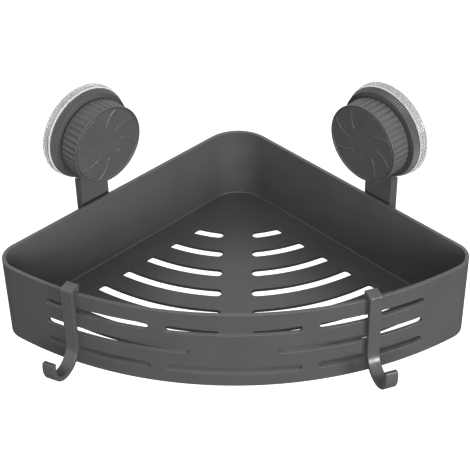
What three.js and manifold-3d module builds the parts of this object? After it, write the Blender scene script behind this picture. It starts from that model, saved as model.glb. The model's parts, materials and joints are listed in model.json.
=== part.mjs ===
// Corner shower caddy: a quarter-round tray, two clip-on hooks, and two suction cup holders
// whose straps drop into sockets on the tray's rear walls.
// Millimetres, +Z up, +Y towards the room's corner. The origin is the middle of the base.
import * as THREE from 'three';
import { mergeVertices } from 'three/addons/utils/BufferGeometryUtils.js';
import Module from 'manifold-3d';

const wasm = await Module();
wasm.setup();

// ---- Driving dimensions ---------------------------------------------------------------

// Tray, seen from above: two rear walls at right angles, closed by one front arc.
const cornerY = 119.45;      // where the rear walls' outer planes meet
const rearWall = 220;        // from there to where a rear wall's plane meets the front arc
const frontRadius = 241.5;
const sideFillet = 16;
const rearFillet = 26.5;
const trayHeight = 58;
const wallThickness = 2.6;
const floorTop = 5.4;         // the walls run on below the floor as a skirt
const floorThickness = 2.4;

// Drain slots in the floor, arcs about one centre, split by a solid spine.
const floorSlots = {
  rows: 7, centreBehindCorner: 10, firstOuterRadius: 79, pitch: 21.1, width: 7,
  spineHalfWidth: 10, insetFromRearWall: 20.6, cornerRound: 1.8,
};

// Slots in the front wall, in rows; the spans are angles about the front arc's centre.
const frontSlotHeight = 5;
const frontSlotRows = [
  { z: 44.2, spans: [[-29.1, -12.5], [-10, 10], [12.5, 29.1]] },
  { z: 28.3, spans: [[-29.1, -6.5], [6.5, 29.1]] },
  { z: 12.7, spans: [[-29.1, -12.5], [-10, 10], [12.5, 29.1]] },
];

// Clip-on hooks.
const hookAngles = { left_hook: -24.7, right_hook: 20.6 };
const hook = {
  width: 8.2, outerGap: 0.6, innerGap: 0.4, strip: 3.4, legThickness: 2.6, legLength: 15,
  topThickness: 3.6, restGap: 0.3, bendHeight: 18.6, outerRadius: 15.5, tipAngle: 14,
};

// Suction cup holders. Depths are measured from the tiles into the room.
const cup = { alongWall: 130.5, axisHeight: 107.8, tileGap: 10 };
const disc = { radius: 32.4, step: 31.7, membrane: 2, lipHeight: 1.3, height: 5.2, recessRadius: 26 };
const plate = { radius: 17, back: 2.3, front: 4.1, headRadius: 7.4, headDepth: 0.9, hole: 4.3 };
const stud = { radius: 4, headRadius: 7.1, back: 2.4, headFront: 2.9, front: 20.9, chamfer: 0.8 };
const cover = {
  radius: 31.3, frontRadius: 29.6, back: 5.6, plateBack: 8.2, front: 10.5, rim: 3.2, chamfer: 0.5, hole: 5,
  washerRadius: 10.4, washerDepth: 1, notchHalfWidth: 11.7,
};
const washer = { inner: 4.4, outer: 10, back: 9.8, front: 10.8 };
const knob = {
  back: 11.1, ribFront: 24.6, front: 26, ribRadius: 26.1, ribDepth: 0.35, ribs: 40,
  lipRadius: 26.75, lipBack: 24.3, seatRadius: 25.7, seat: 24.7, boreRadius: 24, floor: 13.2,
  hubRadius: 9.6, hubFront: 22.2, studHole: 4.4, nutPocket: 13.6, nutPocketFlats: 13,
};
const nut = { flats: 12.3, hole: 4.3, back: 13.9, front: 21.8 };
const cap = {
  radius: 25.4, back: 25, front: 26.2, chamfer: 0.3, skirtOuter: 23.7, skirt: 1.3, skirtBack: 22.4,
};
const strap = {
  halfWidth: 11.3, back: 0.3, front: 7.8, shoulder: 47.8, top: 74.6, eyeRadius: 22, eyeHole: 5,
  eyeBack: 5.9, eyeFront: 7.9, tongueHalfWidth: 8.6, tongueBack: 4.6, tongueFront: 7.6, tongueBottom: 12,
  neckOverlap: 2,
};
const socket = {
  halfWidth: 11.5, back: 2.2, bottom: 8, top: 47.5, cavityHalfWidth: 8.9, cavityBack: 4.3,
  cavityFront: 7.9, cavityBottom: 10.5,
};

const reach = 5;             // how far a cutter runs past the material that it cuts
const degree = Math.PI / 180;
const roundOff = { lip: 0.4, discTop: 0.8, plateTop: 0.5, hookTop: 1 };

// How finely the curves are divided.
const sides = {
  large: 40, eye: 32, medium: 24, small: 16, frontArc: 32, sideFillet: 8, rearFillet: 10,
  slotArc: 7, slotEnd: 5, slotCorner: 3, hookEdge: 4, hookBend: 24, hookTip: 6, perRib: 2,
};
const frontSlotStep = 12;

// ---- Materials ------------------------------------------------------------------------

function plastic(color, roughness) {
  return new THREE.MeshStandardMaterial({ color, roughness, metalness: 0 });
}

const finish = {
  greyAbs: () => plastic(0x55565a, 0.45),
  clearPvc: () => new THREE.MeshStandardMaterial({
    color: 0xeef2f4, roughness: 0.08, metalness: 0, transparent: true, opacity: 0.35,
  }),
  whiteNylon: () => plastic(0xe6e6e2, 0.4),
  brass: () => new THREE.MeshStandardMaterial({ color: 0xb8964e, roughness: 0.35, metalness: 1 }),
  steel: () => new THREE.MeshStandardMaterial({ color: 0xb4b6b8, roughness: 0.3, metalness: 1 }),
};

// ---- Solids ---------------------------------------------------------------------------

// Shares the vertices between faces and drops the faces that shrink to a line at an axis.
function closedMesh(geometry) {
  const bare = geometry.clone();
  bare.deleteAttribute('normal');
  bare.deleteAttribute('uv');
  const merged = mergeVertices(bare);
  const index = merged.index.array;
  const kept = [];
  for (let i = 0; i < index.length; i += 3) {
    const [a, b, c] = index.slice(i, i + 3);
    if (a !== b && b !== c && c !== a) kept.push(a, b, c);
  }
  merged.setIndex(kept);
  return merged;
}

function toSolid(geometry) {
  const merged = closedMesh(geometry);
  return new wasm.Manifold(new wasm.Mesh({
    numProp: 3,
    vertProperties: new Float32Array(merged.attributes.position.array),
    triVerts: new Uint32Array(merged.index.array),
  }));
}

function toGeometry(solid) {
  const mesh = solid.getMesh();
  const geometry = new THREE.BufferGeometry();
  geometry.setAttribute('position', new THREE.BufferAttribute(mesh.vertProperties, 3));
  geometry.setIndex(new THREE.BufferAttribute(mesh.triVerts, 1));
  return geometry;
}

function combine(base, { join = [], cut = [] }) {
  let solid = toSolid(base);
  for (const piece of join) solid = solid.add(toSolid(piece));
  for (const piece of cut) solid = solid.subtract(toSolid(piece));
  return toGeometry(solid);
}

function arcPoints(x, y, radius, from, to, steps) {
  const points = [];
  for (let i = 0; i <= steps; i += 1) {
    const angle = from + ((to - from) * i) / steps;
    points.push(new THREE.Vector2(x + radius * Math.cos(angle), y + radius * Math.sin(angle)));
  }
  return points;
}

function prism(points, bottom, top) {
  const shape = new THREE.Shape(points);
  const geometry = new THREE.ExtrudeGeometry(shape, { depth: top - bottom, bevelEnabled: false });
  return geometry.translate(0, 0, bottom);
}

function block(x, y, z) {
  const geometry = new THREE.BoxGeometry(x[1] - x[0], y[1] - y[0], z[1] - z[0]);
  return geometry.translate((x[0] + x[1]) / 2, (y[0] + y[1]) / 2, (z[0] + z[1]) / 2);
}

// A turned piece about the cup's axis: pairs of radius and depth from the tiles.
function turned(profile, segments = sides.large) {
  const points = profile.map(([radius, depth]) => new THREE.Vector2(radius, depth));
  const first = points[0];
  const onAxis = first.x === 0 && points[points.length - 1].x === 0;
  if (!onAxis) points.push(first.clone());
  const geometry = new THREE.LatheGeometry(points, segments);
  return closedMesh(geometry.translate(0, 0, cup.axisHeight));
}

// A prism about the cup's axis from an outline across it.
function acrossAxis(points, back, front) {
  const geometry = prism(points, back, front);
  geometry.rotateX(-Math.PI / 2);
  return geometry.translate(0, 0, cup.axisHeight);
}

function hexagon(acrossFlats) {
  return arcPoints(0, 0, acrossFlats / Math.sqrt(3), 0, (5 / 3) * Math.PI, 5);
}

// ---- Tray -----------------------------------------------------------------------------

const halfChord = rearWall / Math.SQRT2;
const arcCentreY = cornerY - halfChord + Math.sqrt(frontRadius ** 2 - halfChord ** 2);

// Centre of the right-hand side fillet: it touches the rear wall and the front arc.
function sideFilletCentre() {
  const sum = cornerY - sideFillet * Math.SQRT2;
  const half = (sum - arcCentreY) / 2;
  const reachFromArc = frontRadius - sideFillet;
  const x = half + Math.sqrt(reachFromArc ** 2 / 2 - half ** 2);
  return new THREE.Vector2(x, sum - x);
}

function trayOutline(inset) {
  const side = sideFilletCentre();
  const start = Math.atan2(side.y - arcCentreY, side.x);
  const quarter = Math.PI / 4;
  const rearY = cornerY - rearFillet * Math.SQRT2;
  return [
    ...arcPoints(side.x, side.y, sideFillet - inset, start, quarter, sides.sideFillet),
    ...arcPoints(0, rearY, rearFillet - inset, quarter, 3 * quarter, sides.rearFillet),
    ...arcPoints(-side.x, side.y, sideFillet - inset, 3 * quarter, Math.PI - start, sides.sideFillet),
    ...arcPoints(
      0,
      arcCentreY,
      frontRadius - inset,
      Math.PI - start,
      2 * Math.PI + start,
      sides.frontArc,
    ).slice(1, -1),
  ];
}

// One drain slot on the right of the spine: a round end at the spine, and an end cut
// parallel to the rear wall with its corners rounded.
function floorSlotOutline(outerRadius) {
  const s = floorSlots;
  const arcSteps = sides.slotArc;
  const centreY = cornerY + s.centreBehindCorner;
  const innerRadius = outerRadius - s.width;
  const middleRadius = (outerRadius + innerRadius) / 2;
  const cutAngle = (radius) => {
    const offset = s.insetFromRearWall + s.centreBehindCorner / Math.SQRT2;
    return -Math.PI / 4 - Math.asin(offset / radius);
  };
  const roundEnd = s.width / 2;
  const endX = s.spineHalfWidth + roundEnd;
  const endAngle = -Math.PI / 2 + Math.asin(endX / middleRadius);
  const endY = centreY - Math.sqrt(middleRadius ** 2 - endX ** 2);
  const outerStop = cutAngle(outerRadius) - s.cornerRound / outerRadius;
  const innerStop = cutAngle(innerRadius) - s.cornerRound / innerRadius;
  const along = new THREE.Vector2(Math.SQRT1_2, -Math.SQRT1_2).multiplyScalar(s.cornerRound);
  const cornerAt = (radius) => {
    const angle = cutAngle(radius);
    return new THREE.Vector2(radius * Math.cos(angle), centreY + radius * Math.sin(angle));
  };
  const outerCorner = cornerAt(outerRadius);
  const innerCorner = cornerAt(innerRadius);
  const rounded = (from, corner, to) => {
    return new THREE.QuadraticBezierCurve(from, corner, to).getPoints(sides.slotCorner);
  };
  const outerArc = arcPoints(0, centreY, outerRadius, endAngle, outerStop, arcSteps);
  const innerArc = arcPoints(0, centreY, innerRadius, innerStop, endAngle, arcSteps);
  return [
    ...outerArc.slice(0, -1),
    ...rounded(outerArc[arcSteps], outerCorner, outerCorner.clone().sub(along)),
    ...rounded(innerCorner.clone().add(along), innerCorner, innerArc[0]),
    ...innerArc.slice(1),
    ...arcPoints(
      endX,
      endY,
      roundEnd,
      endAngle + Math.PI,
      endAngle + 2 * Math.PI,
      sides.slotEnd,
    ).slice(1, -1),
  ];
}

function mirrored(points) {
  return points.map((point) => new THREE.Vector2(-point.x, point.y)).reverse();
}

// A slot cutter through the front wall: a flat slot bent round the front arc's centre.
function frontSlotCutter(fromDegrees, toDegrees, z) {
  const round = frontSlotHeight / 2;
  const start = fromDegrees * degree * frontRadius + round;
  const end = toDegrees * degree * frontRadius - round;
  const steps = Math.ceil((end - start) / frontSlotStep);
  const edge = (height, from, to) => {
    const points = [];
    for (let i = 1; i < steps; i += 1) {
      points.push(new THREE.Vector2(from + ((to - from) * i) / steps, height));
    }
    return points;
  };
  const outline = [
    ...arcPoints(start, z, round, Math.PI / 2, (3 / 2) * Math.PI, sides.slotEnd),
    ...edge(z - round, start, end),
    ...arcPoints(end, z, round, -Math.PI / 2, Math.PI / 2, sides.slotEnd),
    ...edge(z + round, end, start),
  ];
  const geometry = prism(outline, frontRadius - reach, frontRadius + reach);
  const position = geometry.attributes.position;
  for (let i = 0; i < position.count; i += 1) {
    const angle = position.getX(i) / frontRadius;
    const radius = position.getZ(i);
    const height = position.getY(i);
    position.setXYZ(i, radius * Math.sin(angle), arcCentreY - radius * Math.cos(angle), height);
  }
  return geometry;
}

// Frames of the two cup holders: x along the wall, y from the tiles into the room.
function cupFrame(side) {
  const frame = new THREE.Group();
  const along = cup.alongWall / Math.SQRT2;
  const out = cup.tileGap / Math.SQRT2;
  frame.position.set(side * (along + out), cornerY - along + out, 0);
  frame.rotation.z = side * 135 * degree;
  frame.updateMatrix();
  return frame;
}

function makeTray() {
  const body = prism(trayOutline(0), 0, trayHeight);
  const inside = trayOutline(wallThickness);
  const hollow = prism(inside, floorTop, trayHeight + reach);
  const underFloor = prism(inside, -reach, floorTop - floorThickness);
  const cutters = [];
  for (let row = 0; row < floorSlots.rows; row += 1) {
    const outline = floorSlotOutline(floorSlots.firstOuterRadius + row * floorSlots.pitch);
    for (const half of [outline, mirrored(outline)]) {
      cutters.push(prism(half, -reach, floorTop + reach));
    }
  }
  for (const { z, spans } of frontSlotRows) {
    for (const [from, to] of spans) cutters.push(frontSlotCutter(from, to, z));
  }
  const pockets = [];
  const cavities = [];
  for (const side of [-1, 1]) {
    const { matrix } = cupFrame(side);
    const s = socket;
    const intoWall = cup.tileGap + wallThickness / 2;
    pockets.push(block(
      [-s.halfWidth, s.halfWidth],
      [s.back, intoWall],
      [s.bottom, s.top],
    ).applyMatrix4(matrix));
    cavities.push(block(
      [-s.cavityHalfWidth, s.cavityHalfWidth],
      [s.cavityBack, s.cavityFront],
      [s.cavityBottom, s.top + reach],
    ).applyMatrix4(matrix));
  }
  return combine(body, { join: pockets, cut: [hollow, underFloor, ...cutters, ...cavities] });
}

// ---- Hooks ----------------------------------------------------------------------------

// Side view: x outwards from the front wall's outer face, y up.
function hookOutline() {
  const h = hook;
  const stemBack = h.outerGap;
  const stemFront = stemBack + h.strip;
  const bendX = stemBack + h.outerRadius;
  const innerRadius = h.outerRadius - h.strip;
  const top = trayHeight + h.restGap + h.topThickness;
  const slotTop = trayHeight + h.restGap;
  const slotBack = -wallThickness - h.innerGap;
  const legBack = slotBack - h.legThickness;
  const legBottom = slotTop - h.legLength;
  const tip = h.tipAngle * degree;
  const tipMiddle = (h.outerRadius + innerRadius) / 2;
  const edge = roundOff.hookTop;
  return [
    ...arcPoints(stemFront - edge, top - edge, edge, 0, Math.PI / 2, sides.hookEdge),
    ...arcPoints(legBack + edge, top - edge, edge, Math.PI / 2, Math.PI, sides.hookEdge),
    new THREE.Vector2(legBack, legBottom),
    new THREE.Vector2(slotBack, legBottom),
    new THREE.Vector2(slotBack, slotTop),
    new THREE.Vector2(stemBack, slotTop),
    ...arcPoints(bendX, h.bendHeight, h.outerRadius, Math.PI, 2 * Math.PI + tip, sides.hookBend),
    ...arcPoints(
      bendX + tipMiddle * Math.cos(tip),
      h.bendHeight + tipMiddle * Math.sin(tip),
      h.strip / 2,
      tip,
      tip + Math.PI,
      sides.hookTip,
    ).slice(1, -1),
    ...arcPoints(bendX, h.bendHeight, innerRadius, 2 * Math.PI + tip, Math.PI, sides.hookBend),
  ];
}

function makeHook() {
  const geometry = prism(hookOutline(), -hook.width / 2, hook.width / 2);
  return geometry.rotateX(Math.PI / 2).translate(frontRadius, 0, 0);
}

// ---- Suction cup holder, in its own frame ---------------------------------------------

function makeDisc() {
  const d = disc;
  return turned([
    [0, 0], [d.radius, 0], [d.radius, d.lipHeight], [d.step, d.lipHeight + roundOff.lip],
    [d.step, d.height - roundOff.discTop], [d.step - roundOff.discTop, d.height],
    [d.recessRadius + roundOff.discTop, d.height],
    [d.recessRadius, d.membrane], [0, d.membrane],
  ]);
}

function makePlate() {
  const p = plate;
  return turned([
    [p.hole, p.back + p.headDepth], [p.headRadius, p.back + p.headDepth], [p.headRadius, p.back],
    [p.radius, p.back], [p.radius, p.front - roundOff.plateTop],
    [p.radius - roundOff.plateTop, p.front], [p.hole, p.front],
  ], sides.medium);
}

function makeStud() {
  const s = stud;
  return turned([
    [0, s.back], [s.headRadius, s.back], [s.headRadius, s.headFront], [s.radius, s.headFront],
    [s.radius, s.front - s.chamfer], [s.radius - s.chamfer, s.front], [0, s.front],
  ], sides.small);
}

function makeCover() {
  const c = cover;
  const body = turned([
    [c.hole, c.plateBack], [c.radius - c.rim, c.plateBack], [c.radius - c.rim, c.back],
    [c.radius, c.back], [c.frontRadius, c.front - c.chamfer], [c.frontRadius - c.chamfer, c.front],
    [c.washerRadius, c.front], [c.washerRadius, c.front - c.washerDepth],
    [c.hole, c.front - c.washerDepth],
  ]);
  const below = [cup.axisHeight - c.radius - reach, cup.axisHeight - c.radius + 2 * c.rim];
  const notch = block([-c.notchHalfWidth, c.notchHalfWidth], [c.back - reach, c.plateBack], below);
  return combine(body, { cut: [notch] });
}

function makeWasher() {
  const w = washer;
  const profile = [[w.inner, w.back], [w.outer, w.back], [w.outer, w.front], [w.inner, w.front]];
  return turned(profile, sides.medium);
}

// Strap with its eye, its thicker foot below the disc, and the tongue under its shoulder.
function makeHanger() {
  const s = strap;
  const width = [-s.halfWidth, s.halfWidth];
  const foot = block(width, [s.back, s.front], [s.shoulder, s.top]);
  const neckSpan = [s.top - s.neckOverlap, cup.axisHeight - s.eyeRadius / 2];
  const neck = block(width, [s.eyeBack, s.eyeFront], neckSpan);
  const eyeProfile = [[0, s.eyeBack], [s.eyeRadius, s.eyeBack], [s.eyeRadius, s.eyeFront], [0, s.eyeFront]];
  const eye = turned(eyeProfile, sides.eye);
  const tongueWidth = [-s.tongueHalfWidth, s.tongueHalfWidth];
  const tongueSpan = [s.tongueBottom, s.shoulder + s.neckOverlap];
  const tongue = block(tongueWidth, [s.tongueBack, s.tongueFront], tongueSpan);
  const hole = turned([[0, 0], [s.eyeHole, 0], [s.eyeHole, cover.front], [0, cover.front]], sides.small);
  return combine(foot, { join: [neck, eye, tongue], cut: [hole] });
}

function ribbedOutline() {
  const count = knob.ribs * sides.perRib;
  const points = [];
  for (let i = 0; i < count; i += 1) {
    const angle = (2 * Math.PI * i) / count;
    const radius = knob.ribRadius + knob.ribDepth * Math.cos(knob.ribs * angle);
    points.push(new THREE.Vector2(radius * Math.cos(angle), radius * Math.sin(angle)));
  }
  return points;
}

function makeKnob() {
  const k = knob;
  const lip = turned([
    [0, k.lipBack], [k.lipRadius - roundOff.lip, k.lipBack], [k.lipRadius, k.lipBack + roundOff.lip],
    [k.lipRadius, k.front - roundOff.lip], [k.lipRadius - roundOff.lip, k.front], [0, k.front],
  ]);
  const bore = turned([
    [0, k.hubFront], [k.hubRadius, k.hubFront], [k.hubRadius, k.floor], [k.boreRadius, k.floor],
    [k.boreRadius, k.seat], [k.seatRadius, k.seat], [k.seatRadius, k.front + reach],
    [0, k.front + reach],
  ]);
  const studHole = turned([[0, 0], [k.studHole, 0], [k.studHole, k.front], [0, k.front]], sides.small);
  const pocket = acrossAxis(hexagon(k.nutPocketFlats), k.nutPocket, k.front);
  const body = acrossAxis(ribbedOutline(), k.back, k.ribFront);
  return combine(body, { join: [lip], cut: [bore, studHole, pocket] });
}

function makeNut() {
  const body = acrossAxis(hexagon(nut.flats), nut.back, nut.front);
  const hole = turned([[0, 0], [nut.hole, 0], [nut.hole, knob.front], [0, knob.front]], sides.small);
  return combine(body, { cut: [hole] });
}

function makeCap() {
  const c = cap;
  return turned([
    [0, c.back], [c.skirtOuter - c.skirt, c.back], [c.skirtOuter - c.skirt, c.skirtBack],
    [c.skirtOuter, c.skirtBack], [c.skirtOuter, c.back], [c.radius, c.back],
    [c.radius, c.front - c.chamfer], [c.radius - c.chamfer, c.front], [0, c.front],
  ]);
}

// ---- Assembly -------------------------------------------------------------------------

function addPart(parent, name, geometry, material) {
  const mesh = new THREE.Mesh(geometry, material);
  mesh.name = name;
  parent.add(mesh);
  return mesh;
}

const caddy = new THREE.Group();
addPart(caddy, 'tray', makeTray(), finish.greyAbs());

for (const [name, angle] of Object.entries(hookAngles)) {
  const mesh = addPart(caddy, name, makeHook(), finish.greyAbs());
  mesh.position.y = arcCentreY;
  mesh.rotation.z = (angle - 90) * degree;
}

for (const [prefix, side] of [['left', -1], ['right', 1]]) {
  const frame = cupFrame(side);
  addPart(frame, `${prefix}_hanger`, makeHanger(), finish.greyAbs());
  addPart(frame, `${prefix}_cup_cover`, makeCover(), finish.greyAbs());
  addPart(frame, `${prefix}_suction_disc`, makeDisc(), finish.clearPvc());
  addPart(frame, `${prefix}_pull_plate`, makePlate(), finish.whiteNylon());
  addPart(frame, `${prefix}_stud`, makeStud(), finish.steel());
  addPart(frame, `${prefix}_slip_washer`, makeWasher(), finish.whiteNylon());
  addPart(frame, `${prefix}_knob`, makeKnob(), finish.greyAbs());
  addPart(frame, `${prefix}_knob_nut`, makeNut(), finish.brass());
  addPart(frame, `${prefix}_knob_cap`, makeCap(), finish.greyAbs());
  caddy.add(frame);
}

export default caddy;
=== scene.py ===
"""Corner shower caddy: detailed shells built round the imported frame, in soft studio light.

Shapes are worked out in millimetres. A cup's own frame has its origin where its axis meets the
tiles, +X along the wall, +Y into the room and +Z up.
"""
import json
from math import asin, atan2, ceil, cos, pi, radians, sin, sqrt, tan

import bmesh
import bpy
from mathutils import Matrix, Vector


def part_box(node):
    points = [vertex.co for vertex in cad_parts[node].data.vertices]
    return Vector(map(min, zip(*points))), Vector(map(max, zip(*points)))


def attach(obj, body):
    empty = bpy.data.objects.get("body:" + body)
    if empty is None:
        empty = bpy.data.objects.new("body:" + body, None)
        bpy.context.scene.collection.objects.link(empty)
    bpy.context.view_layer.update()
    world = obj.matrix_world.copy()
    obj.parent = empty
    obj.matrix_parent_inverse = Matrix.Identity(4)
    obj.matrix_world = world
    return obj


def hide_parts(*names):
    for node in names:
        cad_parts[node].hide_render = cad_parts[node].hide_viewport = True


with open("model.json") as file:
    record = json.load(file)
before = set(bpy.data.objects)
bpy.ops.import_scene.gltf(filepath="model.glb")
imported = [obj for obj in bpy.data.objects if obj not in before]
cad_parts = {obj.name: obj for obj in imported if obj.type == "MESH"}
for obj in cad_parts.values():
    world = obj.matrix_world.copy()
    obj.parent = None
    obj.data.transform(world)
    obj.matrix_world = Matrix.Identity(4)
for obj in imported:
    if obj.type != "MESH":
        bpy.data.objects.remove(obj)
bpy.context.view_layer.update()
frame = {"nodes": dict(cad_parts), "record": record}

MM = 0.001
SIDES = {"left": -1, "right": 1}

# ---- Sizes of the tray ------------------------------------------------------------------

TRAY_LOW, TRAY_HIGH = (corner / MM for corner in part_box("tray"))
FRONT_RADIUS = 241.5
SIDE_FILLET = 16
REAR_FILLET = 26.5
WALL = 2.6
FLOOR = 2.4
FLOOR_TOP = 5.4
UNDER_FLOOR = FLOOR_TOP - FLOOR
FRONT_CENTRE_Y = TRAY_LOW.y + FRONT_RADIUS
CORNER_Y = TRAY_HIGH.y + REAR_FILLET * (sqrt(2) - 1)
RIM_ROUND = 0.45
BASE_ROUND = 0.3
FLOOR_FILLET = 0.8

FLOOR_SLOTS = {
    "rows": 7, "centre_behind_corner": 10, "first_radius": 79, "pitch": 21.1, "width": 7,
    "spine": 10, "inset": 20.6, "corner": 1.8,
}
FRONT_SLOT_HEIGHT = 5
FRONT_SLOT_ROWS = (
    (44.2, ((-29.1, -12.5), (-10, 10), (12.5, 29.1))),
    (28.3, ((-29.1, -6.5), (6.5, 29.1))),
    (12.7, ((-29.1, -12.5), (-10, 10), (12.5, 29.1))),
)
FLOOR_SLOT_EDGE = 0.22      # radii of the slots' edges
FRONT_SLOT_EDGE = 0.3
SOCKET = {
    "half_width": 11.5, "back": 2.2, "bottom": 8, "top": 47.5,
    "cavity_half_width": 8.9, "cavity_back": 4.3, "cavity_front": 7.9, "cavity_bottom": 10.5,
}
REACH = 5                   # how far a cutter runs past what it cuts
TILE_GAP = 10               # from the tiles to the rear walls' outer faces

HOOK_ANGLES = {"left_hook": -24.7, "right_hook": 20.6}
HOOK = {
    "width": 8.2, "outer_gap": 0.6, "inner_gap": 0.4, "strip": 3.4, "leg": 2.6, "leg_length": 15,
    "top": 3.6, "rest_gap": 0.3, "bend_height": 18.6, "bend_radius": 15.5, "tip_angle": 14,
    "outer_corner": 0.9, "inner_corner": 0.4, "edge": 0.45, "tip_flat": 0.9, "tip_corner": 0.7,
    "leg_end": 0.6,
}


# ---- Mesh code --------------------------------------------------------------------------

def loft(rings, closed=False, caps=True):
    """A skin over rings of points, capped at both ends or joined end to start."""
    count = len(rings[0])
    vertices = [point for ring in rings for point in ring]
    faces = []
    bands = len(rings) if closed else len(rings) - 1
    for band in range(bands):
        near = band * count
        far = (band + 1) % len(rings) * count
        for i in range(count):
            j = (i + 1) % count
            faces.append((near + i, near + j, far + j, far + i))
    if caps and not closed:
        faces.append(tuple(range(count)))
        faces.append(tuple(range(len(vertices) - count, len(vertices))))
    return vertices, faces


def joined(*shapes):
    vertices, faces = [], []
    for more_vertices, more_faces in shapes:
        start = len(vertices)
        vertices += more_vertices
        faces += [tuple(index + start for index in face) for face in more_faces]
    return vertices, faces


def moved(shape, matrix):
    return [matrix @ Vector(point) for point in shape[0]], shape[1]


def arc(x, y, radius, start, end, steps):
    """Points of an arc from one angle to another, both included."""
    angles = [start + (end - start) * i / steps for i in range(steps + 1)]
    return [Vector((x + radius * cos(angle), y + radius * sin(angle))) for angle in angles]


def rounded(corners, steps=4):
    """A closed outline through (x, y, radius) corners, each turned by an arc of its radius."""
    outline = []
    for i, (x, y, radius) in enumerate(corners):
        here = Vector((x, y))
        if not radius:
            outline.append(here)
            continue
        back = (Vector(corners[i - 1][:2]) - here).normalized()
        ahead = (Vector(corners[(i + 1) % len(corners)][:2]) - here).normalized()
        half = back.angle(ahead) / 2
        centre = here + (back + ahead).normalized() * (radius / sin(half))
        start = here + back * (radius / tan(half)) - centre
        end = here + ahead * (radius / tan(half)) - centre
        turn = atan2(start.cross(end), start.dot(end))
        for k in range(steps + 1):
            outline.append(centre + Matrix.Rotation(turn * k / steps, 2) @ start)
    return outline


def inset(outline, distance):
    """The outline moved inwards by a small distance; it runs anticlockwise."""
    least_cosine = 0.3      # keeps a very sharp corner from running away
    result = []
    for i, here in enumerate(outline):
        back = (here - outline[i - 1]).normalized()
        ahead = (outline[(i + 1) % len(outline)] - here).normalized()
        left = Vector((-back.y - ahead.y, back.x + ahead.x)).normalized()
        cosine = max(left.dot(Vector((-back.y, back.x))), least_cosine)
        result.append(here + left * (distance / cosine))
    return result


def edge_steps(radius, steps=4):
    """(inset, height) pairs up a quarter round edge."""
    angles = [pi / 2 * i / steps for i in range(steps + 1)]
    return [(radius * (1 - sin(angle)), radius * (1 - cos(angle))) for angle in angles]


def plate(outline, low, high, edge, place):
    """A flat part with round edges. place(x, y, height) puts its points in space."""
    layers = [(step, low + height) for step, height in edge_steps(edge)]
    layers += [(step, high - height) for step, height in reversed(edge_steps(edge))]
    rings = []
    for step, height in layers:
        rings.append([place(point.x, point.y, height) for point in inset(outline, step)])
    return loft(rings)


def with_side_points(profile, least_radius, parts):
    """Points added along the long outer side of a closed profile, for knurls and ribs to shape."""
    least_length = 3
    result = []
    for i, point in enumerate(profile):
        result.append(point)
        ahead = profile[(i + 1) % len(profile)]
        if abs(ahead.y - point.y) > least_length and min(point.x, ahead.x) > least_radius:
            result += [point.lerp(ahead, share / parts) for share in range(1, parts)]
    return result


def turned(profile, segments=112, radius_at=None):
    """A turned part about +Y from (radius, depth) points; radius_at(radius, angle) shapes it."""
    angles = [2 * pi * i / segments for i in range(segments)]
    shape_radius = radius_at or (lambda radius, depth, angle: radius)
    rings = []
    for radius, depth in profile:
        ring = []
        for angle in angles:
            r = shape_radius(radius, depth, angle)
            ring.append(Vector((r * cos(angle), depth, r * sin(angle))))
        rings.append(ring)
    on_axis = profile[0][0] == 0 and profile[-1][0] == 0
    return loft(rings, closed=not on_axis, caps=False)


def make(name, shape):
    """A mesh object from a shape in millimetres, with its normals out."""
    mesh = bpy.data.meshes.new(name)
    mesh.from_pydata([Vector(point) * MM for point in shape[0]], [], shape[1])
    piece = bpy.data.objects.new(name, mesh)
    bpy.context.scene.collection.objects.link(piece)
    clean(piece, turn_out=True)
    return piece


def clean(piece, turn_out=False):
    """Merges doubled vertices, drops empty faces and, for a new piece, turns its normals out."""
    doubled, empty = 0.002 * MM, 0.001 * MM
    mesh = bmesh.new()
    mesh.from_mesh(piece.data)
    bmesh.ops.remove_doubles(mesh, verts=mesh.verts, dist=doubled)
    bmesh.ops.dissolve_degenerate(mesh, edges=mesh.edges, dist=empty)
    if turn_out:
        bmesh.ops.recalc_face_normals(mesh, faces=mesh.faces)
    mesh.to_mesh(piece.data)
    mesh.free()


def combine(piece, shape, operation):
    """Joins a shape to a piece or cuts it away."""
    tool = make(piece.name + "_tool", shape)
    modifier = piece.modifiers.new(operation, "BOOLEAN")
    modifier.object = tool
    modifier.operation = operation
    modifier.solver = "EXACT"
    evaluated = piece.evaluated_get(bpy.context.evaluated_depsgraph_get())
    mesh = bpy.data.meshes.new_from_object(evaluated)
    piece.modifiers.clear()
    piece.data = mesh
    bpy.data.objects.remove(tool)
    clean(piece)


def install(piece, material, body, node, sharp=35):
    """Smooth shading with crisp creases, a material, and the piece's place in the frame."""
    mesh = piece.data
    mesh.shade_smooth()
    mesh.set_sharp_from_angle(angle=radians(sharp))
    weighted = piece.modifiers.new("weighted_normals", "WEIGHTED_NORMAL")
    weighted.keep_sharp = True
    mesh.materials.clear()
    mesh.materials.append(material)
    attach(piece, body)
    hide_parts(node)


# ---- Materials --------------------------------------------------------------------------

def shader(name):
    """A new material's node tree, its Principled shader and its object coordinates."""
    material = bpy.data.materials.new(name)
    material.use_nodes = True
    tree = material.node_tree
    principled = next(node for node in tree.nodes if node.type == "BSDF_PRINCIPLED")
    coordinates = tree.nodes.new("ShaderNodeTexCoord").outputs["Object"]
    return material, tree, principled, coordinates


def noise(tree, coordinates, scale, detail=4, stretch=(1, 1, 1)):
    """Noise with about `scale` features to the metre, stretched along an axis by a small factor."""
    mapping = tree.nodes.new("ShaderNodeMapping")
    mapping.inputs["Scale"].default_value = stretch
    tree.links.new(coordinates, mapping.inputs["Vector"])
    texture = tree.nodes.new("ShaderNodeTexNoise")
    texture.inputs["Scale"].default_value = scale
    texture.inputs["Detail"].default_value = detail
    tree.links.new(mapping.outputs["Vector"], texture.inputs["Vector"])
    return texture.outputs["Fac"]


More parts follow.
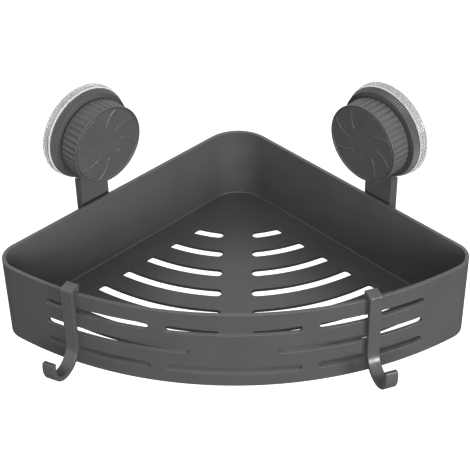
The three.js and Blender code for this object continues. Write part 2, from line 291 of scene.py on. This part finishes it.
def spread(tree, value, low, high):
    """Maps the middle of a noise, where most of its values lie, to a range."""
    node = tree.nodes.new("ShaderNodeMapRange")
    node.inputs["From Min"].default_value = 0.3
    node.inputs["From Max"].default_value = 0.7
    node.inputs["To Min"].default_value = low
    node.inputs["To Max"].default_value = high
    tree.links.new(value, node.inputs["Value"])
    return node.outputs["Result"]


def tint(tree, value, low, high):
    """Maps the middle of a noise to a stretch between two colours."""
    low_color, high_color, mixed = 6, 7, 2      # the colour sockets share their names with others
    node = tree.nodes.new("ShaderNodeMix")
    node.data_type = "RGBA"
    node.inputs[low_color].default_value = (*low, 1)
    node.inputs[high_color].default_value = (*high, 1)
    tree.links.new(spread(tree, value, 0, 1), node.inputs["Factor"])
    return node.outputs[mixed]


def bump(tree, value, distance, strength=1, below=None):
    node = tree.nodes.new("ShaderNodeBump")
    node.inputs["Distance"].default_value = distance
    node.inputs["Strength"].default_value = strength
    tree.links.new(value, node.inputs["Height"])
    if below:
        tree.links.new(below, node.inputs["Normal"])
    return node.outputs["Normal"]


def plastic(name, color, roughness, grain=1900, depth=0.018, stretch=(1, 1, 1)):
    """Moulded satin plastic: slow tone and gloss changes, fine spark-eroded grain, slight sinks."""
    material, tree, principled, coordinates = shader(name)
    dark = [channel * 0.94 for channel in color]
    light = [channel * 1.06 for channel in color]
    tone = tint(tree, noise(tree, coordinates, 45, 5), dark, light)
    tree.links.new(tone, principled.inputs["Base Color"])
    low, high = roughness
    gloss = spread(tree, noise(tree, coordinates, 320, 4, stretch), low, high)
    tree.links.new(gloss, principled.inputs["Roughness"])
    sinks = bump(tree, noise(tree, coordinates, 28, 2), 0.12 * MM, 0.5)
    fine = bump(tree, noise(tree, coordinates, grain, 3, stretch), depth * MM, 0.6, sinks)
    tree.links.new(fine, principled.inputs["Normal"])
    principled.inputs["IOR"].default_value = 1.5
    return material


def clear_vinyl(name):
    """Soft PVC, clear with a grey cast: slight ripples in the moulding and a faint bloom."""
    material, tree, principled, coordinates = shader(name)
    tone = tint(tree, noise(tree, coordinates, 60, 3), (0.67, 0.675, 0.68), (0.75, 0.755, 0.765))
    tree.links.new(tone, principled.inputs["Base Color"])
    gloss = spread(tree, noise(tree, coordinates, 260, 4), 0.08, 0.16)
    tree.links.new(gloss, principled.inputs["Roughness"])
    ripples = bump(tree, noise(tree, coordinates, 140, 2), 0.03 * MM, 0.4)
    tree.links.new(ripples, principled.inputs["Normal"])
    principled.inputs["Transmission Weight"].default_value = 0.7
    principled.inputs["IOR"].default_value = 1.45
    return material


def metal(name, color, roughness):
    """Turned metal with fine lines across its axis and a little tarnish."""
    material, tree, principled, coordinates = shader(name)
    dull = [channel * 0.8 for channel in color]
    tone = tint(tree, noise(tree, coordinates, 300, 5), dull, color)
    tree.links.new(tone, principled.inputs["Base Color"])
    low, high = roughness
    gloss = spread(tree, noise(tree, coordinates, 900, 4), low, high)
    tree.links.new(gloss, principled.inputs["Roughness"])
    lines = bump(tree, noise(tree, coordinates, 2600, 2), 0.008 * MM, 0.5)
    tree.links.new(lines, principled.inputs["Normal"])
    principled.inputs["Metallic"].default_value = 1
    return material


ABS = (0.06, 0.06, 0.062)
TRAY_ABS = plastic("tray_abs", ABS, (0.34, 0.44))
HOOK_ABS = plastic("hook_abs", (0.066, 0.066, 0.068), (0.24, 0.34), 1500, 0.03, (1, 1, 0.06))
CUP_ABS = plastic("cup_abs", ABS, (0.36, 0.48), 2200, 0.02)
KNOB_ABS = plastic("knob_abs", (0.068, 0.067, 0.066), (0.34, 0.46), 2200, 0.02)
CLEAR_PVC = clear_vinyl("clear_pvc")
NYLON = plastic("white_nylon", (0.72, 0.72, 0.69), (0.4, 0.55), 1600, 0.02)
STEEL = metal("steel", (0.56, 0.57, 0.58), (0.22, 0.36))
BRASS = metal("brass", (0.62, 0.45, 0.2), (0.25, 0.42))


# ---- Tray -------------------------------------------------------------------------------

def side_fillet_centre():
    """Centre of the right-hand side fillet, which touches the rear wall and the front arc."""
    total = CORNER_Y - SIDE_FILLET * sqrt(2)
    half = (total - FRONT_CENTRE_Y) / 2
    x = half + sqrt((FRONT_RADIUS - SIDE_FILLET) ** 2 / 2 - half ** 2)
    return x, total - x


def tray_outline(step):
    """The tray's outline from above, moved inwards by a step."""
    x, y = side_fillet_centre()
    start = atan2(y - FRONT_CENTRE_Y, x)
    rear_y = CORNER_Y - REAR_FILLET * sqrt(2)
    return [
        *arc(x, y, SIDE_FILLET - step, start, pi / 4, 24),
        *arc(0, rear_y, REAR_FILLET - step, pi / 4, 3 * pi / 4, 28),
        *arc(-x, y, SIDE_FILLET - step, 3 * pi / 4, pi - start, 24),
        *arc(0, FRONT_CENTRE_Y, FRONT_RADIUS - step, pi - start, 2 * pi + start, 144)[1:-1],
    ]


def tray_body():
    """Skirt, walls, rim and floor as one skin, from the floor's underside to its top."""
    top = TRAY_HIGH.z
    profile = [(WALL + step, UNDER_FLOOR - height) for step, height in edge_steps(BASE_ROUND, 3)]
    profile += [(WALL - step, height) for step, height in reversed(edge_steps(BASE_ROUND))]
    profile += edge_steps(BASE_ROUND)
    profile += [(step, top - height) for step, height in reversed(edge_steps(RIM_ROUND, 6))]
    profile += [(WALL - step, top - height) for step, height in edge_steps(RIM_ROUND, 6)]
    fillet = edge_steps(FLOOR_FILLET, 6)
    profile += [(WALL + step, FLOOR_TOP + height) for step, height in reversed(fillet)]
    rings = []
    for step, height in profile:
        rings.append([Vector((point.x, point.y, height)) for point in tray_outline(step)])
    return loft(rings)


def flared(thickness, edge):
    """(growth, depth) pairs of a cutter through a wall, widening at both faces."""
    stop, steps = radians(76), 4
    angles = [stop * i / steps for i in range(steps + 1)]
    near = [(edge * (1 - cos(angle)), edge * (1 - sin(angle))) for angle in angles]
    growth, depth = near[-1]
    clear = 0.15            # how far the cutter stands out of each face
    outside = (growth + (depth + clear) * tan(stop), -clear)
    front = [*near, outside]
    return [(g, d) for g, d in reversed(front)] + [(g, thickness - d) for g, d in front]


def floor_slot_outline(outer):
    """A slot on the right of the spine: round at the spine, cut parallel to the rear wall."""
    s = FLOOR_SLOTS
    centre_y = CORNER_Y + s["centre_behind_corner"]
    inner = outer - s["width"]
    middle = (outer + inner) / 2
    offset = s["inset"] + s["centre_behind_corner"] / sqrt(2)
    end_round = s["width"] / 2
    end_x = s["spine"] + end_round
    end_angle = -pi / 2 + asin(end_x / middle)
    end_y = centre_y - sqrt(middle ** 2 - end_x ** 2)
    along = Vector((1, -1)).normalized() * s["corner"]

    def cut_angle(radius):
        return -pi / 4 - asin(offset / radius)

    def corner(radius):
        angle = cut_angle(radius)
        return Vector((radius * cos(angle), centre_y + radius * sin(angle)))

    def eased(start, peak, end):
        """A parabola round a corner."""
        steps = 6
        times = [i / steps for i in range(steps + 1)]
        return [start * (1 - t) ** 2 + peak * 2 * t * (1 - t) + end * t ** 2 for t in times]

    outer_stop = cut_angle(outer) - s["corner"] / outer
    inner_stop = cut_angle(inner) - s["corner"] / inner
    outer_arc = arc(0, centre_y, outer, end_angle, outer_stop, 18)
    inner_arc = arc(0, centre_y, inner, inner_stop, end_angle, 18)
    return [
        *outer_arc[:-1],
        *eased(outer_arc[-1], corner(outer), corner(outer) - along),
        *eased(corner(inner) + along, corner(inner), inner_arc[0]),
        *inner_arc[1:],
        *arc(end_x, end_y, end_round, end_angle + pi, end_angle + 2 * pi, 12)[1:-1],
    ]


def floor_cutters():
    cutters = []
    for row in range(FLOOR_SLOTS["rows"]):
        right = floor_slot_outline(FLOOR_SLOTS["first_radius"] + row * FLOOR_SLOTS["pitch"])
        for side in (1, -1):
            rings = []
            for growth, depth in flared(FLOOR, FLOOR_SLOT_EDGE):
                outline = inset(right, -growth)
                height = UNDER_FLOOR + depth
                rings.append([Vector((side * point.x, point.y, height)) for point in outline])
            cutters.append(loft(rings))
    return joined(*cutters)


def front_slot_outline(start, end, height, end_steps):
    """A slot with round ends, unrolled: x along the front wall's outer face, y up."""
    half = FRONT_SLOT_HEIGHT / 2
    longest_step = 4
    first = radians(start) * FRONT_RADIUS + half
    last = radians(end) * FRONT_RADIUS - half
    steps = ceil((last - first) / longest_step)
    run = [first + (last - first) * i / steps for i in range(1, steps)]
    return [
        *arc(last, height, half, -pi / 2, pi / 2, end_steps),
        *[Vector((x, height + half)) for x in reversed(run)],
        *arc(first, height, half, pi / 2, 3 * pi / 2, end_steps),
        *[Vector((x, height - half)) for x in run],
    ]


def slot_cap(count, tip, start):
    """Faces across a bent slot's end, between its long sides; `tip` is a round end's middle."""
    faces = []
    for step in range(count // 2):
        across = (tip + step, tip + step + 1, tip - step - 1, tip - step)
        faces.append(tuple(dict.fromkeys(start + index % count for index in across)))
    return faces


def front_cutters():
    cutters = []
    end_steps = 12
    for height, spans in FRONT_SLOT_ROWS:
        for start, end in spans:
            outline = front_slot_outline(start, end, height, end_steps)
            rings = []
            for growth, depth in flared(WALL, FRONT_SLOT_EDGE):
                radius = FRONT_RADIUS - depth
                ring = []
                for point in inset(outline, -growth):
                    angle = point.x / FRONT_RADIUS
                    x = radius * sin(angle)
                    ring.append(Vector((x, FRONT_CENTRE_Y - radius * cos(angle), point.y)))
                rings.append(ring)
            vertices, faces = loft(rings, caps=False)
            count = len(outline)
            faces += slot_cap(count, end_steps // 2, 0)
            faces += slot_cap(count, end_steps // 2, len(vertices) - count)
            cutters.append((vertices, faces))
    return joined(*cutters)


def box_outline(half_width, low, high, radius):
    return rounded([
        (-half_width, low, radius), (half_width, low, radius),
        (half_width, high, radius), (-half_width, high, radius),
    ])


def cup_matrix(side):
    """A cup's own frame in the object's frame, in millimetres."""
    name = f"{side}_suction_face"
    mount = next(row for row in frame["record"]["mounts"] if row["name"] == name)
    into_room = -Vector(mount["axis"])
    along = into_room.cross(Vector((0, 0, 1)))
    rotation = Matrix((along, into_room, Vector((0, 0, 1)))).transposed().to_4x4()
    return Matrix.Translation(Vector(mount["pos_m"]) / MM) @ rotation


CUPS = {side: cup_matrix(side) for side in SIDES}
AXIS_HEIGHT = CUPS["left"].translation.z


def across_wall(x, y, depth):
    """Places an outline seen from the room at a depth from the tiles, with y as height."""
    return Vector((x, depth, y - AXIS_HEIGHT))


def up_wall(x, y, height):
    """Places a section seen from above, with y as its depth from the tiles, at a height."""
    return Vector((x, y, height - AXIS_HEIGHT))


def socket_shapes():
    """The blocks behind the rear walls and the pockets in them."""
    s = SOCKET
    outline = box_outline(s["half_width"], s["bottom"], s["top"], 1.2)
    block = plate(outline, s["back"], TILE_GAP + WALL / 2, 0.8, across_wall)
    cavity_outline = box_outline(s["cavity_half_width"], s["cavity_bottom"], s["top"] + REACH, 0.8)
    cavity = plate(cavity_outline, s["cavity_back"], s["cavity_front"], 0.4, across_wall)
    blocks = [moved(block, matrix) for matrix in CUPS.values()]
    cavities = [moved(cavity, matrix) for matrix in CUPS.values()]
    return joined(*blocks), joined(*cavities)


def build_tray():
    tray = make("tray_shell", tray_body())
    blocks, cavities = socket_shapes()
    combine(tray, blocks, "UNION")
    combine(tray, joined(floor_cutters(), front_cutters(), cavities), "DIFFERENCE")
    install(tray, TRAY_ABS, "tray", "tray", sharp=32)


# ---- Hooks ------------------------------------------------------------------------------

def hook_stations():
    """Side view as pairs of points across the strip, from the inner leg round to the tip."""
    h = HOOK
    stem_in = h["outer_gap"]
    stem_out = stem_in + h["strip"]
    leg_in = -WALL - h["inner_gap"]
    leg_out = leg_in - h["leg"]
    seat = TRAY_HIGH.z + h["rest_gap"]
    top = seat + h["top"]
    small, large = h["inner_corner"], h["outer_corner"]
    bend_x = stem_in + h["bend_radius"]
    inner_bend = h["bend_radius"] - h["strip"]
    leg_steps, corner_steps, stem_steps, bend_steps = 6, 6, 10, 44
    pairs = []
    for i in range(leg_steps + 1):
        height = seat - h["leg_length"] + i * (h["leg_length"] - small) / leg_steps
        pairs.append((Vector((leg_in, height)), Vector((leg_out, min(height, top - large)))))
    inside = arc(leg_in + small, seat - small, small, pi, pi / 2, corner_steps)
    outside = arc(leg_out + large, top - large, large, pi, pi / 2, corner_steps)
    pairs += list(zip(inside, outside))
    inside = arc(stem_in - small, seat - small, small, pi / 2, 0, corner_steps)
    outside = arc(stem_out - large, top - large, large, pi / 2, 0, corner_steps)
    pairs += list(zip(inside, outside))
    low = h["bend_height"]
    for i in range(1, stem_steps):
        share = i / stem_steps
        inner_height = seat - small + (low - seat + small) * share
        outer_height = top - large + (low - top + large) * share
        pairs.append((Vector((stem_in, inner_height)), Vector((stem_out, outer_height))))
    end = 2 * pi + radians(h["tip_angle"])
    outside = arc(bend_x, low, h["bend_radius"], pi, end, bend_steps)
    inside = arc(bend_x, low, inner_bend, pi, end, bend_steps)
    pairs += list(zip(outside, inside))
    return pairs


def strip_section(half_width, half_thickness, edge):
    """A round-edged rectangle: x across the strip's width, y through its thickness."""
    largest_share = 0.98
    edge = min(edge, half_width * largest_share, half_thickness * largest_share)
    return rounded([
        (-half_width, -half_thickness, edge), (half_width, -half_thickness, edge),
        (half_width, half_thickness, edge), (-half_width, half_thickness, edge),
    ], 5)


def hook_shape():
    """The strip swept along its stations, with a round-edged inner end and a blunt tip."""
    h = HOOK
    stations = []
    for start, end in hook_stations():
        stations.append(((start + end) / 2, (end - start).normalized(), (end - start).length / 2))
    rings = []

    def add(centre, across, half_thickness, half_width):
        ring = []
        for point in strip_section(half_width, half_thickness, h["edge"]):
            side = centre + across * point.y
            ring.append(Vector((side.x, point.x, side.y)))
        rings.append(ring)

    half = h["width"] / 2
    centre, across, thickness = stations[0]
    for step, height in edge_steps(h["leg_end"]):
        start = centre + Vector((0, height))
        add(start, across, thickness - step, half - step)
    for centre, across, thickness in stations[1:]:
        add(centre, across, thickness, half)
    onward = Vector((-across.y, across.x))
    if onward.dot(centre - stations[-2][0]) < 0:
        onward = -onward
    corner, corner_steps = h["tip_corner"], 6
    for i in range(corner_steps + 1):
        angle = pi / 2 * i / corner_steps
        ahead = h["tip_flat"] + corner * sin(angle)
        shrink = corner * (1 - cos(angle))
        add(centre + onward * ahead, across, thickness - shrink, half - shrink)
    return loft(rings)


def build_hooks():
    shape = hook_shape()
    to_centre = Matrix.Translation((0, FRONT_CENTRE_Y, 0))
    to_wall = Matrix.Translation((FRONT_RADIUS, 0, 0))
    for name, angle in HOOK_ANGLES.items():
        place = to_centre @ Matrix.Rotation(radians(angle - 90), 4, "Z") @ to_wall
        hook = make(f"{name}_strip", moved(shape, place))
        install(hook, HOOK_ABS, name, name, sharp=40)


# ---- Suction cups -----------------------------------------------------------------------

def extent(node, matrix):
    """Lowest and highest corners of a CAD node in a cup's own frame, in millimetres."""
    to_cup = matrix.inverted()
    points = [to_cup @ (vertex.co / MM) for vertex in frame["nodes"][node].data.vertices]
    low = Vector([min(point[i] for point in points) for i in range(3)])
    high = Vector([max(point[i] for point in points) for i in range(3)])
    return low, high


# Every cup is alike, so the left one's nodes give the depths and radii of both.
def turned_size(node):
    """(back, front, radius) of a turned CAD node."""
    low, high = extent(f"left_{node}", CUPS["left"])
    return low.y, high.y, high.x


def disc_shape():
    """A dished disc with a thin sealing lip and a stepped edge."""
    back, front, radius = turned_size("suction_disc")
    recess, membrane = 26, 2
    return turned(rounded([
        (0, back, 0), (radius - 0.5, back, 0), (radius, back + 0.35, 0.2), (radius, back + 1.1, 0.2),
        (radius - 0.5, back + 1.5, 0.3), (radius - 0.5, back + 2.6, 0.2), (radius - 1, back + 2.9, 0.2),
        (radius - 0.55, back + 3.3, 0.3), (radius - 0.55, front, 0.6), (radius - 2.4, front, 0.3),
        (radius - 2.8, front - 0.5, 0.2), (recess + 1.2, front - 0.5, 0.4),
        (recess, membrane, 0.8), (0, membrane, 0),
    ], 4), 144)


def plate_shape():
    """A plate with a recess for the stud's head and a raised ring round its hole."""
    back, front, radius = turned_size("pull_plate")
    hole, head, head_depth = 4.3, 7.4, 0.9
    return turned(rounded([
        (hole, back + head_depth, 0), (head, back + head_depth, 0.2), (head, back, 0.3),
        (radius, back, 0.3), (radius, front, 0.5), (hole + 3, front, 0.3), (hole + 2.6, front - 0.3, 0.1),
        (hole, front - 0.3, 0.2),
    ]), 96)


def stud_shape():
    """A flat-headed stud with rings for its thread."""
    back, front, head = turned_size("stud")
    root, crest, pitch = 3.5, 4, 1
    profile = [(0, back), (head - 0.3, back), (head, back + 0.15), (head, back + 0.5), (root, back + 0.5)]
    depth = back + 0.8
    while depth < front - 1.6:
        profile += [(root, depth), (crest, depth + pitch * 0.4), (crest, depth + pitch * 0.55)]
        profile += [(root, depth + pitch * 0.95)]
        depth += pitch
    profile += [(root, front - 0.8), (root - 0.7, front), (0, front)]
    return turned(profile, 48)


def washer_shape():
    """A plain ring with round edges."""
    back, front, outer = turned_size("slip_washer")
    inner = 4.4
    return turned(rounded([
        (inner, back, 0.2), (outer, back, 0.2), (outer, front, 0.3), (inner, front, 0.3),
    ], 3), 80)


def cover_shape():
    """A shallow cover, knurled round its tapered side, with a seat for the washer."""
    back, front, radius = turned_size("cup_cover")
    front_radius, rim, web, hole, washer, washer_depth = 29.6, 3.2, 8.2, 5, 10.4, 1
    knurls, knurl_depth, points_per_knurl = 132, 0.55, 4
    plain = rounded([
        (hole, web, 0.2), (radius - rim, web, 0.8), (radius - rim, back, 0.3),
        (radius, back, 0.4), (front_radius, front, 0.3), (front_radius - 0.8, front, 0.15),
        (front_radius - 1.1, front - 0.3, 0.1), (washer, front - 0.3, 0.15),
        (washer, front - washer_depth, 0.1), (hole, front - washer_depth, 0.1),
    ], 4)
    profile = with_side_points(plain, front_radius - 0.5, 12)

    def knurled(r, depth, angle):
        on_side = r > front_radius - 0.02 and back + 0.4 < depth < front - 0.4
        return r - knurl_depth * abs(sin(angle * knurls / 2)) if on_side else r

    return turned(profile, knurls * points_per_knurl, knurled)


def knob_shape():
    """A ribbed knob: lip and seat in front, a hub with a hexagonal nut pocket inside."""
    back, front, lip = turned_size("knob")
    k = {
        "ribs": 40, "rib_radius": 26.45, "rib_depth": 1.1, "rib_front": 25.2, "seat_radius": 25.7,
        "seat": 24.7, "bore": 24, "floor": 13.2, "hub": 9.6, "hub_front": 22.2, "hole": 4.4,
        "pocket": 13.6, "flats": 13, "ease_back": 1.6, "ease_front": 0.6, "points_per_rib": 9,
    }
    plain = rounded([
        (k["hole"], back, 0.2), (k["rib_radius"], back, 0.9), (k["rib_radius"], k["rib_front"], 0.15),
        (lip, k["rib_front"] + 0.1, 0.15), (lip, front, 0.3), (k["seat_radius"], front, 0.3),
        (k["seat_radius"], k["seat"], 0.2), (k["bore"], k["seat"], 0.15), (k["bore"], k["floor"], 0.8),
        (k["hub"], k["floor"], 0.5), (k["hub"], k["hub_front"], 0.4),
        (k["flats"] / 2, k["hub_front"], 0.2), (k["flats"] / 2, k["pocket"], 0.1),
        (k["hole"], k["pocket"], 0.1),
    ], 4)
    profile = with_side_points(plain, k["bore"] + 1, 8)

    def shaped(r, depth, angle):
        on_ribs = r > k["bore"] + 1.5 and depth < k["rib_front"]
        if on_ribs:
            valley = 1 - abs(cos(angle * k["ribs"] / 2))
            to_front = k["rib_front"] - depth
            ease = min(1, (depth - back) / k["ease_back"], to_front / k["ease_front"])
            return r - k["rib_depth"] * valley * max(ease, 0) ** 0.5
        in_pocket = r <= k["flats"] / 2 + 0.25 and depth >= k["pocket"] and r > k["hole"] + 0.3
        if in_pocket:
            turn = (angle + pi / 6) % (pi / 3) - pi / 6
            return r / cos(turn)
        return r

    return turned(profile, k["ribs"] * k["points_per_rib"], shaped)


def cap_shape():
    """A cap whose face carries eight narrow curved arms in relief."""
    back, front, radius = turned_size("knob_cap")
    skirt_outer, skirt, skirt_front = 23.7, 1.3, 25
    arms, inner, outer = 8, 10.5, radius - 0.8
    half_width, relief, edge = 1.1, 0.3, 0.26
    sweep, curl = radians(21), 1.3
    face_rings, points_per_arm, margin = 88, 48, 0.7
    face = front - relief
    side = rounded([
        (0, skirt_front, 0), (skirt_outer - skirt, skirt_front, 0.2), (skirt_outer - skirt, back, 0.2),
        (skirt_outer, back, 0.3), (skirt_outer, skirt_front, 0.1), (radius, skirt_front, 0.2),
        (radius, front, 0.3), (radius - 0.5, front, 0.1), (radius - margin, face, 0.1), (0, face, 0),
    ], 4)[:-1]
    widest = radius - 0.9
    radii = [widest - widest * i / face_rings for i in range(1, face_rings + 1)]
    segments = arms * points_per_arm

    def swirl(r):
        """How far an arm has turned at a radius."""
        share = max(0, (r - inner) / (outer - inner))
        return sweep * share ** curl

    rings = []
    for r, depth in [*side, *[(r, face) for r in radii]]:
        ring = []
        for i in range(segments):
            local = (2 * pi * i / segments + pi / arms) % (2 * pi / arms) - pi / arms
            across = abs(local) * r
            inward = max(0, inner + half_width - r)
            edge_distance = half_width - sqrt(across ** 2 + inward ** 2)
            rise = min(max(edge_distance / edge + 0.5, 0), 1)
            on_face = depth == face and 0 < r < radius - margin
            lift = relief * rise * rise * (3 - 2 * rise) if on_face else 0
            angle = 2 * pi * i / segments + swirl(r)
            ring.append(Vector((r * cos(angle), depth + lift, r * sin(angle))))
        rings.append(ring)
    return loft(rings, caps=False)


def nut_shape():
    """A hexagonal nut, chamfered at its corners, with rings for its thread."""
    back, front, _ = turned_size("knob_nut")
    flats, bore, pitch = 12.3, 4.3, 1
    profile = [
        (bore + 0.5, back), (flats / 2 - 0.2, back), (flats / 2, back + 0.35),
        (flats / 2, front - 0.35), (flats / 2 - 0.2, front), (bore + 0.5, front),
    ]
    depth = front - 0.5
    while depth > back + 0.8:
        profile += [(bore, depth), (bore, depth - 0.2), (bore + 0.4, depth - pitch * 0.6)]
        depth -= pitch

    def hexagonal(r, depth, angle):
        if r < flats / 2 - 0.3:
            return r
        turn = (angle + pi / 6) % (pi / 3) - pi / 6
        chamfer = flats / 2 + 0.45 + 0.6 * min(depth - back, front - depth)
        return min(r / cos(turn), max(chamfer, r))

    return turned(profile, 96, hexagonal)


def hanger_shapes():
    """The strap's foot with a stepped side, the thin neck and eye, and the tongue."""
    s = {
        "half": 11.3, "back": 0.3, "front": 7.8, "shoulder": 47.8, "top": 74.6,
        "step_depth": 4.9, "step": 0.6, "neck_overlap": 2, "tongue_overlap": 1,
        "eye_radius": 22, "eye_hole": 5, "eye_back": 5.9, "eye_front": 7.9,
        "tongue_half": 8.6, "tongue_back": 4.6, "tongue_front": 7.6, "tongue_bottom": 12,
    }
    half = s["half"]
    section = rounded([
        (-half + s["step"], s["back"], 0.5), (half - s["step"], s["back"], 0.5),
        (half - s["step"], s["step_depth"], 0.12), (half, s["step_depth"], 0.2),
        (half, s["front"], 0.5), (-half, s["front"], 0.5), (-half, s["step_depth"], 0.2),
        (-half + s["step"], s["step_depth"], 0.12),
    ], 4)
    foot = plate(section, s["shoulder"], s["top"], 0.1, up_wall)
    join = asin(half / s["eye_radius"])
    eye_outline = [
        Vector((-half, s["top"] - s["neck_overlap"])), Vector((half, s["top"] - s["neck_overlap"])),
        *arc(0, AXIS_HEIGHT, s["eye_radius"], join - pi / 2, 3 * pi / 2 - join, 96),
    ]
    eye = plate(eye_outline, s["eye_back"], s["eye_front"], 0.3, across_wall)
    tongue = plate(
        box_outline(s["tongue_half"], s["tongue_bottom"], s["shoulder"] + s["tongue_overlap"], 1.5),
        s["tongue_back"], s["tongue_front"], 0.6, across_wall,
    )
    end = s["eye_front"] + REACH
    hole = turned([(0, 0), (s["eye_hole"], 0), (s["eye_hole"], end), (0, end)], 64)
    return foot, [eye, tongue], hole


def notch_shape():
    """The gap in the cover's rim for the strap's neck."""
    half_width, height, web = 11.7, 6.4, 8.2
    back, _, radius = turned_size("cup_cover")
    low = AXIS_HEIGHT - radius
    outline = box_outline(half_width, low - REACH, low + height, 0.6)
    return plate(outline, back - REACH, web, 0.05, across_wall)


def build_hanger(side, matrix):
    foot, additions, hole = hanger_shapes()
    hanger = make(f"{side}_strap", moved(foot, matrix))
    for shape in additions:
        combine(hanger, moved(shape, matrix), "UNION")
    combine(hanger, moved(hole, matrix), "DIFFERENCE")
    install(hanger, CUP_ABS, f"{side}_holder", f"{side}_hanger")


def build_cup(side):
    matrix = CUPS[side]
    holder, puller, knob = (f"{side}_{body}" for body in ("holder", "puller", "knob"))
    build_hanger(side, matrix)
    rows = (
        ("dome_cover", cover_shape, CUP_ABS, holder, "cup_cover", "grey_abs"),
        ("vinyl_disc", disc_shape, CLEAR_PVC, holder, "suction_disc", "clear_pvc"),
        ("nylon_washer", washer_shape, NYLON, holder, "slip_washer", "white_nylon"),
        ("nylon_plate", plate_shape, NYLON, puller, "pull_plate", "white_nylon"),
        ("threaded_stud", stud_shape, STEEL, puller, "stud", "steel"),
        ("ribbed_knob", knob_shape, KNOB_ABS, knob, "knob", "grey_abs"),
        ("brass_nut", nut_shape, BRASS, knob, "knob_nut", "brass"),
        ("swirl_cap", cap_shape, CUP_ABS, knob, "knob_cap", "grey_abs"),
    )
    for name, shape, material, body, node, slot in rows:
        piece = make(f"{side}_{name}", moved(shape(), matrix))
        if node == "cup_cover":
            combine(piece, moved(notch_shape(), matrix), "DIFFERENCE")
        sharp = 50 if node == "knob" else 35
        install(piece, material, body, f"{side}_{node}", sharp)


# ---- Stage ------------------------------------------------------------------------------

def build_floor():
    """A wide white floor, which glows a little and isn't mirrored in the object."""
    half, height = 400, -0.4
    mesh = bpy.data.meshes.new("floor")
    corners = [(-half, -half, height), (half, -half, height), (half, half, height), (-half, half, height)]
    mesh.from_pydata(corners, [], [(0, 1, 2, 3)])
    floor = bpy.data.objects.new("floor", mesh)
    bpy.context.scene.collection.objects.link(floor)
    material, tree, principled, coordinates = shader("pale_floor")
    tone = tint(tree, noise(tree, coordinates, 3, 2), (0.9, 0.9, 0.9), (0.92, 0.92, 0.92))
    tree.links.new(tone, principled.inputs["Base Color"])
    principled.inputs["Roughness"].default_value = 0.9
    principled.inputs["Emission Color"].default_value = (1, 1, 1, 1)
    principled.inputs["Emission Strength"].default_value = 0.3
    mesh.materials.append(material)
    floor.visible_diffuse = False
    floor.visible_glossy = False


def direction(azimuth, elevation):
    """A unit vector away from the object; azimuth 0 is straight in front, 90 to the right."""
    a, e = radians(azimuth), radians(elevation)
    return Vector((sin(a) * cos(e), -cos(a) * cos(e), sin(e)))


def softbox(name, azimuth, elevation, distance, size, power):
    light = bpy.data.lights.new(name, "AREA")
    light.shape = "RECTANGLE"
    light.size, light.size_y = size
    light.energy = power
    box = bpy.data.objects.new(name, light)
    away = direction(azimuth, elevation)
    box.location = away * distance
    box.rotation_euler = away.to_track_quat("Z", "Y").to_euler()
    box.visible_camera = False
    bpy.context.scene.collection.objects.link(box)


def build_light():
    """A white sky over a dim lower half, and three lamps."""
    below, above = 0.15, 1
    world = bpy.data.worlds.new("studio")
    world.use_nodes = True
    tree = world.node_tree
    background = tree.nodes["Background"]
    split = tree.nodes.new("ShaderNodeSeparateXYZ")
    tree.links.new(tree.nodes.new("ShaderNodeTexCoord").outputs["Generated"], split.inputs["Vector"])
    sky = tree.nodes.new("ShaderNodeMapRange")
    sky.inputs["From Min"].default_value = -0.05
    sky.inputs["From Max"].default_value = 0.02
    sky.inputs["To Min"].default_value = below
    sky.inputs["To Max"].default_value = above
    tree.links.new(split.outputs["Z"], sky.inputs["Value"])
    tree.links.new(sky.outputs["Result"], background.inputs["Strength"])
    background.inputs["Color"].default_value = (1, 1, 1, 1)
    bpy.context.scene.world = world
    softbox("key", 44, 14, 1.9, (0.4, 0.4), 24)
    softbox("front", 5, 16, 2.2, (1.2, 0.8), 31)
    softbox("rear", 180, 42, 2, (1.4, 0.9), 2.4)
    view = bpy.context.scene.view_settings
    view.view_transform = "Standard"
    view.look = "None"


def build_camera():
    lens, distance, azimuth, elevation, roll = 105.71, 0.91666, 1.5736, 37.6013, radians(-1.0875)
    camera = bpy.data.cameras.new("camera")
    camera.sensor_width = 36
    camera.lens = lens
    camera.clip_end = 30
    eye = bpy.data.objects.new("camera", camera)
    aim = Vector((-0.0008, 0.00944, 0.04001))
    back = direction(azimuth, elevation)
    right = (-back).cross(Vector((0, 0, 1))).normalized()
    up = right.cross(-back)
    tilted_right = right * cos(roll) + up * sin(roll)
    tilted_up = up * cos(roll) - right * sin(roll)
    rotation = Matrix((tilted_right, tilted_up, back)).transposed().to_4x4()
    eye.matrix_world = Matrix.Translation(aim + back * distance) @ rotation
    bpy.context.scene.collection.objects.link(eye)
    bpy.context.scene.camera = eye


build_camera()
build_light()
build_floor()
build_tray()
build_hooks()
for cup_side in SIDES:
    build_cup(cup_side)
